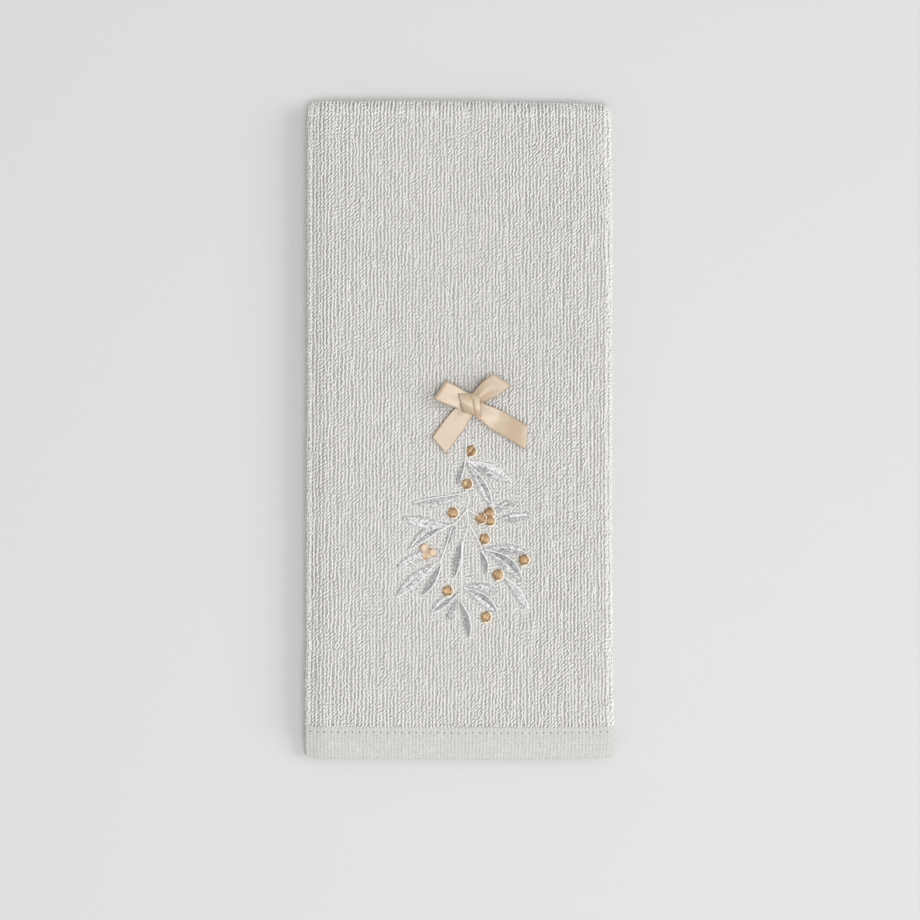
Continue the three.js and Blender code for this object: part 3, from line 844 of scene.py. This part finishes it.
def cloth_finish():
    f = Finish("cotton_ground", COTTON, roughness=1.0, sheen_weight=0.1, sheen_roughness=0.5)
    flat, looped = f.attribute("flat", "Vector"), f.attribute("pile")
    across, along, _ = f.node("ShaderNodeSeparateXYZ", {0: flat}).outputs
    ribs, weft = f.wave(across, RIB_PITCH), f.wave(along, WEFT_PITCH)
    weave = f.maths("ADD", f.maths("MULTIPLY", ribs, RIB_WAVE), f.maths("MULTIPLY", weft, WEFT_WAVE))
    grain = f.maths("SUBTRACT", f.noise(flat, 1.1, 3.0), 0.5)
    weave = f.maths("ADD", weave, f.maths("MULTIPLY", grain, GRAIN))
    loops = f.maths("ADD", f.wave(along, LOOP_PITCH), f.maths("MULTIPLY", ribs, LOOP_RIB_WAVE))
    f.bump(f.mix(looped, weave, f.maths("MULTIPLY", loops, LOOP_WAVE)), CLOTH_BUMP)
    # The hem is darker where its weave is low: painted shade between the threads, on top of the bump, with
    # a random grain.
    shade = f.maths("MULTIPLY_ADD", weave, WEAVE_CONTRAST, WEAVE_LIGHT)
    worn = f.maths("SUBTRACT", f.noise(flat, 0.35, 3.0), WORN_FROM)
    woven = f.blend(shade, COTTON_SHADE, COTTON_WOVEN)
    woven = f.blend(f.maths("MULTIPLY", worn, WORN_CONTRAST), woven, COTTON)
    woven = f.blend(needle_hole_shade(f, across, along), woven, NEEDLE_HOLE_SHADE)
    # The ground weave under the loops and the faces inside the folds take the painted shade colour.
    f.colour(f.blend(looped, woven, COTTON_PAINTED_SHADE))
    return f.material


cotton_loops, cotton_ground = pile_finish(), cloth_finish()
cloth.data.materials.append(cotton_ground)
print("finishes:", cotton_loops.name, cotton_ground.name)

# %% [markdown]
# ## The pile in pieces
# The loops of the front panel make three pieces, one behind the other, and those round the folds
# make a fourth, so no piece gets too heavy to handle.

# %% Stand the loops up
FRONT_PIECES = 3


def part_of_pile(name, chosen):
    piece = mesh_object(name, ground[chosen], attributes={
        "facing": facing[chosen], "rib": ribs[chosen], "flat": flat[chosen], "pressed": pressed[chosen],
    })
    return grow(piece, loops_tree, cotton_loops)


front_face = keep & (facing[:, 2] > FACES_UP)
piece_length = FOLDED_LENGTH / FRONT_PIECES + 0.01
turn_of = np.floor((ground[:, 1] - FRONT_Y) / piece_length).astype(int)
pile_pieces = []
for k in range(FRONT_PIECES):
    pile_pieces.append(part_of_pile(f"pile_front_{k + 1}", front_face & (turn_of == k)))
pile_pieces.append(part_of_pile("pile_folds", keep & ~front_face))

# %% [markdown]
# ## The hem's stitches
# A machine sews the hem down in one straight row. The tree walks along the seam, sets a point at
# every stitch and lays a low arch of thread on it, both ends sunk in the cloth.

# %% The seam
STITCH_STEPS, STITCH_SIDES, STITCH_FOOT = 5, 5, -0.15
SEAM_STITCHES, SEAM_STEP = 40, 0.25


def seam_tree():
    t = Tree("seam", **{"Material": None, "Pitch": STITCH_PITCH * MM, "Stitch Length": 2.3 * MM,
                        "Stitch Height": 0.22 * MM, "Thread Radius": 0.17 * MM})
    arch = t.arch(t.input["Stitch Length"], t.input["Stitch Height"], STITCH_FOOT * MM, STITCH_STEPS)
    stitch = t.yarn(arch, t.input["Thread Radius"], STITCH_SIDES)
    line = t.out("GeometryNodeMeshToCurve", {0: t.input["Geometry"]})
    inputs = {"Curve": line, "Length": t.input["Pitch"]}
    points = t.node("GeometryNodeCurveToPoints", inputs, mode="LENGTH").outputs
    rotation = t.upright((0, 0, 1), points["Tangent"])
    return t.finish(t.placed(stitch, points["Points"], rotation))


def polyline_edges(count, start=0):
    return [(start + k, start + k + 1) for k in range(count - 1)]


def seam_line():
    sections, across, _ = cloth_sections()
    front = sections[:, 1] == 0
    first = math.ceil(across[front][0] / STITCH_PITCH) + 0.5
    stitches = first + np.arange(0, SEAM_STITCHES + 0.01, SEAM_STEP)
    x = np.interp(STITCH_PITCH * stitches, across[front], sections[front, 0])
    line = folded(straight(x, 0, -1), along_front(HEM_DEPTH - SEAM_INSET), HEM_THICKNESS / 2)
    line[:, 2] += relief(line[:, 0], line[:, 1])
    return line + SHIFT


line = seam_line()
hem_stitches = mesh_object("hem_stitches", line, edges=polyline_edges(len(line)))
sewing_cotton = Finish("sewing_cotton", COTTON_WOVEN, roughness=0.75, sheen_weight=0.05)
grow(hem_stitches, seam_tree(), sewing_cotton.material)

# %% [markdown]
# ## Threads
# Every embroidered shape is made of many threads side by side. Each thread is a short line of
# points, drawn by a rule, and one tree turns all the lines of a piece into round threads.

# %% The tree that thickens lines into threads
def thread_tree():
    t = Tree("threads", **{"Material": None, "Thread Radius": 0.24 * MM, "Sides": 4})
    lines = t.out("GeometryNodeMeshToCurve", {0: t.input["Geometry"]})
    return t.finish(t.yarn(lines, t.input["Thread Radius"], t.input["Sides"], caps=True))


threads = thread_tree()


def threaded(name, lines, tones, material, radius, sides=4):
    """A piece of many threads. Lines are points in plan with their rise over the ground weave."""
    points = np.concatenate(lines)
    points = np.column_stack([points[:, :2], ground_at(points[:, 0], points[:, 1]) + points[:, 2]])
    starts = np.cumsum([0] + [len(line) for line in lines])
    edges = [edge for line, start in zip(lines, starts) for edge in polyline_edges(len(line), start)]
    tone = np.concatenate([np.broadcast_to(value, len(line)) for line, value in zip(lines, tones)])
    piece = mesh_object(name, points, edges=edges, attributes={"tone": tone})
    return grow(piece, threads, material, **{"Thread Radius": radius * MM, "Sides": sides})

# %% [markdown]
# ## The sprig in satin stitch
# A leaf is sewn in two halves. In each, the threads go from the edge to the midrib, slanting
# towards the tip, so each half shines as one sheet: one is painted pale, the other grey, as
# painted sheen and painted shade. A pale half's threads also vary more at random, so darker
# threads stand for the gaps between its stitches. A rim of stem stitch runs along one side,
# painted bright as a painted highlight, and thinner, lower rims painted grey as painted shade run
# along the other sides. The same stitch makes the stems.

# %% Leaves and stems
SATIN_PITCH, PILE_RISE = 0.48, 0.9
STITCH_AHEAD = 0.7  # a stitch slants forward by this share of the leaf's half width
STITCH_AT, STITCH_RISE = (0.0, 0.35, 0.7, 1.0), np.array([-0.5, 0.05, 0.12, -0.15])
STEM_STEPS, STEM_RISE, RIM_RISE = 14, 0.12, 0.12
# The grey is painted shade on the silver thread: leaf halves and rims are painted between it and the
# silver.
SILVER_SHADED, SILVER = (0.33, 0.33, 0.34), (0.93, 0.93, 0.93)
rng = np.random.default_rng(11)


def leaf_threads(leaf):
    length = math.dist(leaf[:2], leaf[2:4])
    count = int(length / SATIN_PITCH)
    rib, left, half = leaf_line(leaf, count)
    lines, tones = [], []
    for k in range(1, count - 2):
        ahead = min(k + int(1 + half[k] / SATIN_PITCH * STITCH_AHEAD), count - 1)
        # Each half's tone is its painted sheen or shade, with a random spread thread by thread.
        for hand, tone in ((1, leaf.left_tone), (-1, leaf.right_tone)):
            edge = rib[k] + left[k] * half[k] * hand * rng.uniform(0.9, 1.08)
            centre = rib[ahead] + left[ahead] * 0.1 * hand
            at = [edge + (centre - edge) * s for s in STITCH_AT]
            rise = PILE_RISE + STITCH_RISE + rng.uniform(-0.05, 0.05)
            lines.append(np.column_stack([at, rise]))
            tones.append(np.clip(tone + rng.normal(0, 0.32 + 0.3 * (tone > 0.5), 4), 0, 1))
    return lines, tones


def leaf_rim(leaf, hand, rise):
    rib, left, half = leaf_line(leaf, LEAF_STEPS)
    at = rib + left * half[:, None] * hand
    return np.column_stack([at, np.full(len(at), PILE_RISE + rise)])


def stem_path(bends):
    at = np.arange(len(bends))
    spread = np.linspace(0, len(bends) - 1, STEM_STEPS)
    plan = np.stack([np.interp(spread, at, np.array(bends)[:, axis]) for axis in (0, 1)], -1)
    for _ in range(2):
        plan[1:-1] = (plan[:-2] + 2 * plan[1:-1] + plan[2:]) / 4
    return np.column_stack([plan, np.full(STEM_STEPS, PILE_RISE + STEM_RISE)])


def silk_finish(name, dark, light, roughness, metallic=0.0):
    f = Finish(name, light, roughness=roughness, metallic=metallic)
    # The tone attribute goes from dark to light: painted sheen and shade on leaves and rims, a painted
    # highlight on the berry rings, random tone on other threads.
    f.colour(f.blend(f.attribute("tone"), dark, light))
    return f.material


silver_thread = silk_finish("silver_rayon", SILVER_SHADED, SILVER, 0.4)
leaf_lines, leaf_sheens = [], []
for leaf in LEAVES:
    lines, tones = leaf_threads(leaf)
    leaf_lines += lines
    leaf_sheens += tones
leaves = threaded("sprig_leaves", leaf_lines, leaf_sheens, silver_thread, radius=0.27)
# Painted highlight: the rim on a leaf's lit side is bright and joins the stems. Painted shade: the rims on
# its other sides are grey, thinner and lower.
lit_rims = [leaf_rim(leaf, leaf.rim_side, RIM_RISE) for leaf in LEAVES if leaf.rim_side]
shaded_rims = []
for leaf in LEAVES:
    shaded_rims += [leaf_rim(leaf, hand, -RIM_RISE) for hand in (1, -1) if hand != leaf.rim_side]
stem_lines = [stem_path(stem) for stem in STEMS] + lit_rims
stems = threaded("sprig_stems", stem_lines, [1.0] * len(stem_lines), silver_thread, radius=0.29, sides=6)
shaded_rim_threads = threaded("sprig_shaded_rims", shaded_rims, [0.5] * len(shaded_rims), silver_thread, radius=0.17)

# %% [markdown]
# ## Berries and knots
# A berry is a raised disc of satin stitch: chords across a circle, higher in its middle. The
# three pale ones are sewn alike with fewer turns of a thicker thread. A pale stitch goes round the
# right side of each berry, its lit side, as a painted highlight.

# %% Berries
BERRY_PITCH, KNOT_PITCH, CHORD_POINTS = 0.36, 0.55, 7
BERRY_SUNK, BERRY_HEIGHT = 0.6, 1.2
HIGHLIGHT_RING_RADIUS, HIGHLIGHT_RING_ENDS, HIGHLIGHT_RING_POINTS, HIGHLIGHT_RING_RISE = 2.55, (-1.9, 1.1), 21, 0.1
GOLD_DARK, GOLD = (0.44, 0.29, 0.15), (0.84, 0.64, 0.42)
PALE_GOLD_DARK, PALE_GOLD = (0.62, 0.42, 0.26), (0.98, 0.86, 0.70)


def berry_threads(x, y, radius, pitch):
    turn = rng.uniform(0.9, 1.5)
    way = np.array([math.cos(turn), math.sin(turn)])
    side = np.array([-math.sin(turn), math.cos(turn)])
    lines = []
    for offset in np.arange(-radius + pitch / 2, radius, pitch):
        reach = math.sqrt(radius**2 - offset**2) * rng.uniform(0.92, 1.1)
        share = np.linspace(-1, 1, CHORD_POINTS)
        at = np.array([x, y]) + side * offset + np.outer(share * reach, way)
        out = (offset / radius) ** 2 + share**2 * (1 - (offset / radius) ** 2)
        dome = np.clip(1 - out**1.5, 0, 1) ** 0.5
        rise = PILE_RISE - BERRY_SUNK + BERRY_HEIGHT * dome + rng.uniform(-0.04, 0.04)
        lines.append(np.column_stack([at, rise]))
    return lines


gold_thread = silk_finish("gold_thread", GOLD_DARK, GOLD, 0.3, metallic=0.7)
pale_gold = silk_finish("pale_gold_thread", PALE_GOLD_DARK, PALE_GOLD, 0.3, metallic=0.2)
berry_lines, knot_lines = [], []
for centre in BERRIES:
    berry_lines += berry_threads(*centre, BERRY_RADIUS, BERRY_PITCH)
berry_tones = rng.uniform(0, 1, len(berry_lines))
berries = threaded("sprig_berries", berry_lines, berry_tones, gold_thread, radius=0.22)
for centre in KNOTS:
    knot_lines += berry_threads(*centre, KNOT_RADIUS, KNOT_PITCH)
knot_tones = list(rng.uniform(0.0, 0.7, len(knot_lines))) + [1.0] * len(BERRIES)
# Painted highlight: a pale thread round the right, lit side of each berry.
turns = np.linspace(*HIGHLIGHT_RING_ENDS, HIGHLIGHT_RING_POINTS)
for x, y in BERRIES:
    highlight_ring = [x + HIGHLIGHT_RING_RADIUS * np.cos(turns), y + HIGHLIGHT_RING_RADIUS * np.sin(turns)]
    knot_lines.append(np.column_stack([*highlight_ring, np.full(HIGHLIGHT_RING_POINTS, PILE_RISE + HIGHLIGHT_RING_RISE)]))
knots = threaded("sprig_knots", knot_lines, knot_tones, pale_gold, radius=0.36, sides=6)

# %% [markdown]
# ## The bow
# The bow is one ribbon, so every part of it is the same strip: a line of middles, the way across
# the ribbon, and the ribbon's width there. Near the knot the ribbon is gathered, so it narrows and
# rises in pleats. The strip gets its thickness from its own surface normals.

# %% Strips of ribbon
RIBBON_THICKNESS, LOOP_FOLD = 0.35, 1.0
PILE_TOP, RIBBON_REST = 1.15, 0.3  # top of the loops over the ground weave, ribbon over it
ACROSS = np.linspace(-0.5, 0.5, 25)
MIDDLE = len(ACROSS) // 2
PLEATS, PLEAT_PHASE = 1.6, 0.6
KNOT_X, KNOT_Y = 4.7, 12.4


def strip(middles, across, width, pleat):
    """Points of a ribbon's surface, rows along it by columns across."""
    across = across / np.linalg.norm(across, axis=1, keepdims=True)
    forward = np.gradient(middles, axis=0)
    up = np.cross(across, forward)
    up /= np.linalg.norm(up, axis=1, keepdims=True)
    rise = np.outer(pleat, np.cos(2 * math.pi * PLEATS * ACROSS + PLEAT_PHASE))
    aside = across[:, None] * np.outer(width, ACROSS)[..., None]
    return middles[:, None] + aside + up[:, None] * rise[..., None]


def thickened(grid):
    normal = np.cross(np.gradient(grid, axis=1), np.gradient(grid, axis=0))
    normal /= np.linalg.norm(normal, axis=2, keepdims=True)
    return closed_sheet(grid + normal * RIBBON_THICKNESS / 2, grid - normal * RIBBON_THICKNESS / 2)


def on_pile(x, y, lift):
    return np.stack([x, y, ground_at(x, y) + PILE_TOP + (RIBBON_REST + lift)], -1)


def heading_to(x, y):
    length = math.hypot(x - KNOT_X, y - KNOT_Y)
    return np.array([(x - KNOT_X) / length, (y - KNOT_Y) / length]), length


def turned_across(way, slant, share):
    angle = math.atan2(way[1], way[0]) - math.pi / 2 + np.radians(slant) * share
    return np.stack([np.cos(angle), np.sin(angle), 0 * angle], -1)

# %% [markdown]
# ## Loops and tails
# A bow has two loops, two tails and a turn of ribbon over its middle. A loop springs up from the
# knot and comes back underneath. A tail lies down on the pile, and its cut end slants. The knot's
# turn hides where they meet, so the strips may simply start below it.

# %% Loops and tails
LOOP_ROWS, FOLD_ROWS, TAIL_ROWS = 22, 11, 40
LOOP_START, LOOP_SPRING = 1.2, 1.4
# x and y of the far end, its slant in degrees, width at the knot, rise, wave, gather
BOW_TAILS = [
    (-9.4, -6.7, -13.5, 8.8, 0.4, 0.15, 0.15),
    (31.0, -3.1, 25.5, 6.6, 3.0, 0.5, 0.35),
]
# x and y of the far end, its slant in degrees, width at the knot, height, rise, gather
BOW_LOOPS = [
    (-9.2, 18.9, -9.5, 8.6, 4.4, 1.1, 0.25),
    (19.7, 23.4, 20.7, 5.8, 5.3, 1.35, 0.55),
]


def ribbon_loop(x, y, slant, near_width, height, rise, gather):
    """Out on top from the knot, round the far end and back underneath."""
    way, length = heading_to(x, y)
    radius, run = LOOP_FOLD, length - LOOP_FOLD
    share = np.linspace(0, 1, LOOP_ROWS)
    top = LOOP_START + LOOP_SPRING * ease(share, -0.1, 0.3)
    top += (height - LOOP_START - LOOP_SPRING) * share
    bottom = rise * (1 - share) ** 2 + (height - 2 * radius) * share**2
    turn = np.linspace(0, math.pi, FOLD_ROWS)[1:-1]
    reach = np.concatenate([share * run, run + radius * 0.9 * np.sin(turn), share[::-1] * run])
    lift = np.concatenate([top, height - radius * (1 - np.cos(turn)), bottom[::-1]])
    plan = np.array([KNOT_X, KNOT_Y]) + np.outer(reach, way)
    out = np.clip(reach / run, 0, 1)
    middles = on_pile(plan[:, 0], plan[:, 1], lift)
    width = near_width + (RIBBON_WIDTH - near_width) * ease(out, 0.15, 0.75)
    pleat = gather * (1 - ease(out, 0.1, 0.8))
    return strip(middles, turned_across(way, slant, out), width, pleat)


def ribbon_tail(x, y, slant, near_width, rise, wave, gather):
    way, length = heading_to(x, y)
    share = np.linspace(0, 1, TAIL_ROWS)
    plan = np.array([KNOT_X, KNOT_Y]) + np.outer(share * length, way)
    lift = rise * (1 - ease(share, -0.15, 0.5)) + wave * np.sin(math.pi * share * 1.6) ** 2 * share
    middles = on_pile(plan[:, 0], plan[:, 1], lift)
    turned = slant * ease(share, 0.45, 1.0)
    width = near_width + (RIBBON_WIDTH - near_width) * ease(share, 0.08, 0.5)
    width = width / np.cos(np.radians(turned))
    pleat = gather * (1 - ease(share, 0.05, 0.55))
    return strip(middles, turned_across(way, slant, ease(share, 0.45, 1.0)), width, pleat)

# %% [markdown]
# ## The knot
# The ribbon goes once over the middle, steep at both ends and nearly flat on top. It is pulled
# tight, so its edges press down and one slanting crease runs along it.

# %% The knot
KNOT_ROWS = 30
KNOT_REACH, KNOT_HEIGHT, KNOT_SQUARE, KNOT_TILT, KNOT_WIDTH = 4.8, 4.2, 0.42, 0.12, 9.2
CREASE_DEPTH, CREASE_WIDTH, EDGE_DROP = 1.2, 0.045, 0.7


def ribbon_knot():
    """One turn of ribbon over the middle of the bow, with a slanting crease."""
    angle = np.linspace(-0.12 * math.pi, 1.12 * math.pi, KNOT_ROWS)
    y = KNOT_Y - KNOT_REACH * np.cos(angle)
    x = KNOT_X + 0.3 + 0.9 * np.cos(angle)
    lift = KNOT_HEIGHT * np.maximum(np.sin(angle), 0) ** KNOT_SQUARE + KNOT_TILT * (y - KNOT_Y)
    middles = on_pile(x, y, lift)
    across = np.stack([np.ones(KNOT_ROWS), -0.18 - 0.1 * np.cos(angle), np.zeros(KNOT_ROWS)], -1)
    width = KNOT_WIDTH - 0.6 * np.cos(angle) + 0.4 * np.sin(angle)
    grid = strip(middles, across, width, np.zeros(KNOT_ROWS))
    share = np.linspace(0, 1, KNOT_ROWS)[:, None]
    crease = 0.12 - 0.2 * (share - 0.5) + 0.04 * np.sin(share * 14)
    dent = CREASE_DEPTH * np.exp(-(((ACROSS[None] - crease) / CREASE_WIDTH) ** 2))
    edge = EDGE_DROP * np.abs(2 * ACROSS[None]) ** 3
    grid[..., 2] -= (dent + edge) * np.maximum(np.sin(angle), 0)[:, None]
    return grid

# %% [markdown]
# ## One piece of ribbon
# All five strips become one mesh with their length and width as attributes. A UV map holds them
# too, because the shine has to know which way the threads run.

# %% Tie the bow
def ribbon_piece():
    grids = [ribbon_tail(*row) for row in BOW_TAILS] + [ribbon_loop(*row) for row in BOW_LOOPS]
    grids.append(ribbon_knot())
    points, faces, along, side, start, total = [], [], [], [], 0, 0.0
    for grid in grids:
        made, quads = thickened(grid)
        points.append(made)
        faces.append(quads + start)
        start += len(made)
        steps = np.linalg.norm(np.diff(grid[:, MIDDLE], axis=0), axis=1)
        total += steps.sum()
        along += [np.repeat(np.concatenate([[0], np.cumsum(steps)]), len(ACROSS))] * 2
        side += [np.tile(ACROSS, len(grid))] * 2
    along, side = np.concatenate(along), np.concatenate(side)
    points, faces = np.concatenate(points), np.concatenate(faces)
    piece = mesh_object("satin_bow", points, faces, attributes={"along": along, "side": side})
    corners = np.empty(len(piece.data.loops), dtype=np.int32)
    piece.data.loops.foreach_get("vertex_index", corners)
    place = np.stack([side, along / RIBBON_WIDTH], -1)[corners]
    piece.data.uv_layers.new(name="satin").data.foreach_set("uv", place.ravel())
    return piece, total


ribbon, ribbon_length = ribbon_piece()
print("ribbon:", round(ribbon_length), "mm long")

# %% [markdown]
# ## Satin
# In satin weave long threads float on top, all one way, so the shine is drawn out across them.
# The anisotropic highlight takes that way from the ribbon's own UV map. The woven edges are
# plain weave, with tiny loops of thread; their dark dashes are partly the loops' own colour and
# partly painted shade along the ribbon's edges.

# %% Satin
SATIN, SATIN_EDGE, PICOT_AND_EDGE_SHADE = (0.58, 0.435, 0.292), (0.63, 0.485, 0.34), (0.35, 0.225, 0.15)
EDGE_FROM, PICOT_FROM = 0.445, -0.4
FLOAT_PITCH, PICOT_PITCH = 0.03, 1.1  # a share of the width, and millimetres
FLOAT_HEIGHT, SATIN_BUMP = 0.12, 0.05


def satin_finish():
    f = Finish("champagne_satin", SATIN, roughness=0.36, ior=1.85, specular_ior_level=0.66,
               anisotropic=0.95)
    way = f.out("ShaderNodeTangent", direction_type="UV_MAP", uv_map="satin")
    f.group.links.new(way, f.shader["Tangent"])
    side = f.attribute("side")
    selvedge = f.maths("GREATER_THAN", f.maths("ABSOLUTE", side), EDGE_FROM)
    picot = f.wave(f.attribute("along"), PICOT_PITCH)
    # Dark dashes on the edges: partly the picots' own colour, partly painted shade along the edges.
    edge = f.blend(f.maths("GREATER_THAN", picot, PICOT_FROM), SATIN_EDGE, PICOT_AND_EDGE_SHADE)
    f.colour(f.blend(selvedge, SATIN, edge))
    floats = f.maths("MULTIPLY", f.wave(side, FLOAT_PITCH), FLOAT_HEIGHT)
    f.bump(f.mix(selvedge, floats, picot), SATIN_BUMP)
    return f.material


ribbon.data.materials.append(satin_finish())
print("ribbon finish:", ribbon.data.materials[0].name)

# %% [markdown]
# ## Floor, light and camera
# The towel lies on a plain pale floor, seen from straight above. One big soft light stands low on
# the right, a small one overhead makes the satin shine, and a weak one on the left and a bright
# surround fill the shadows.

# %% Studio
FLOOR_COLOUR, SURROUND = (0.70, 0.70, 0.695), 0.51
LOOKED_AT, VIEW_WIDTH = (0.0002, -0.0133, 0.0135), 0.4232  # metres


def studio():
    bpy.ops.mesh.primitive_plane_add(size=6.0, location=(0, 0, 0))
    floor = bpy.context.object
    floor.name = "floor"
    floor.data.materials.append(Finish("pale_floor", FLOOR_COLOUR, roughness=0.8).material)
    world = bpy.data.worlds.new("surround")
    world.use_nodes = True
    background = world.node_tree.nodes["Background"].inputs
    background["Color"].default_value = (1, 1, 1, 1)
    background["Strength"].default_value = SURROUND
    bpy.context.scene.world = world


def softbox(name, place, size, power):
    light = bpy.data.lights.new(name, "AREA")
    light.shape, light.size, light.energy = "SQUARE", size, power
    holder = bpy.data.objects.new(name, light)
    holder.location = place
    holder.rotation_euler = (-Vector(place)).to_track_quat("-Z", "Y").to_euler()
    bpy.context.scene.collection.objects.link(holder)


def overhead_camera(lens=85.0, sensor=36.0):
    camera = bpy.data.objects.new("camera", bpy.data.cameras.new("camera"))
    camera.data.lens, camera.data.sensor_width = lens, sensor
    x, y, z = LOOKED_AT
    camera.location = (x, y, z + VIEW_WIDTH * lens / sensor)
    bpy.context.scene.collection.objects.link(camera)
    bpy.context.scene.camera = camera


studio()
# place and size in metres, power in watts
softbox("key", (4.0, 0.2, 2.6), 2.9, 100.0)
softbox("overhead", (0.27, -0.45, 1.7), 0.6, 10.8)
softbox("fill", (-3.0, -1.0, 2.4), 2.4, 9.0)
overhead_camera()
print("camera", round(bpy.context.scene.camera.location.z, 2), "m above the floor")
bpy.context.scene.view_settings.view_transform = "Standard"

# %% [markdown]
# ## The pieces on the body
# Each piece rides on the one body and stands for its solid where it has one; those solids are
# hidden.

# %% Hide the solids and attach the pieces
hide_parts("towel")
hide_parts("ribbon_bow")
sewn_on = [*pile_pieces, hem_stitches, leaves, stems, shaded_rim_threads, berries, knots]
for piece in (cloth, ribbon, *sewn_on):
    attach(piece, "root")
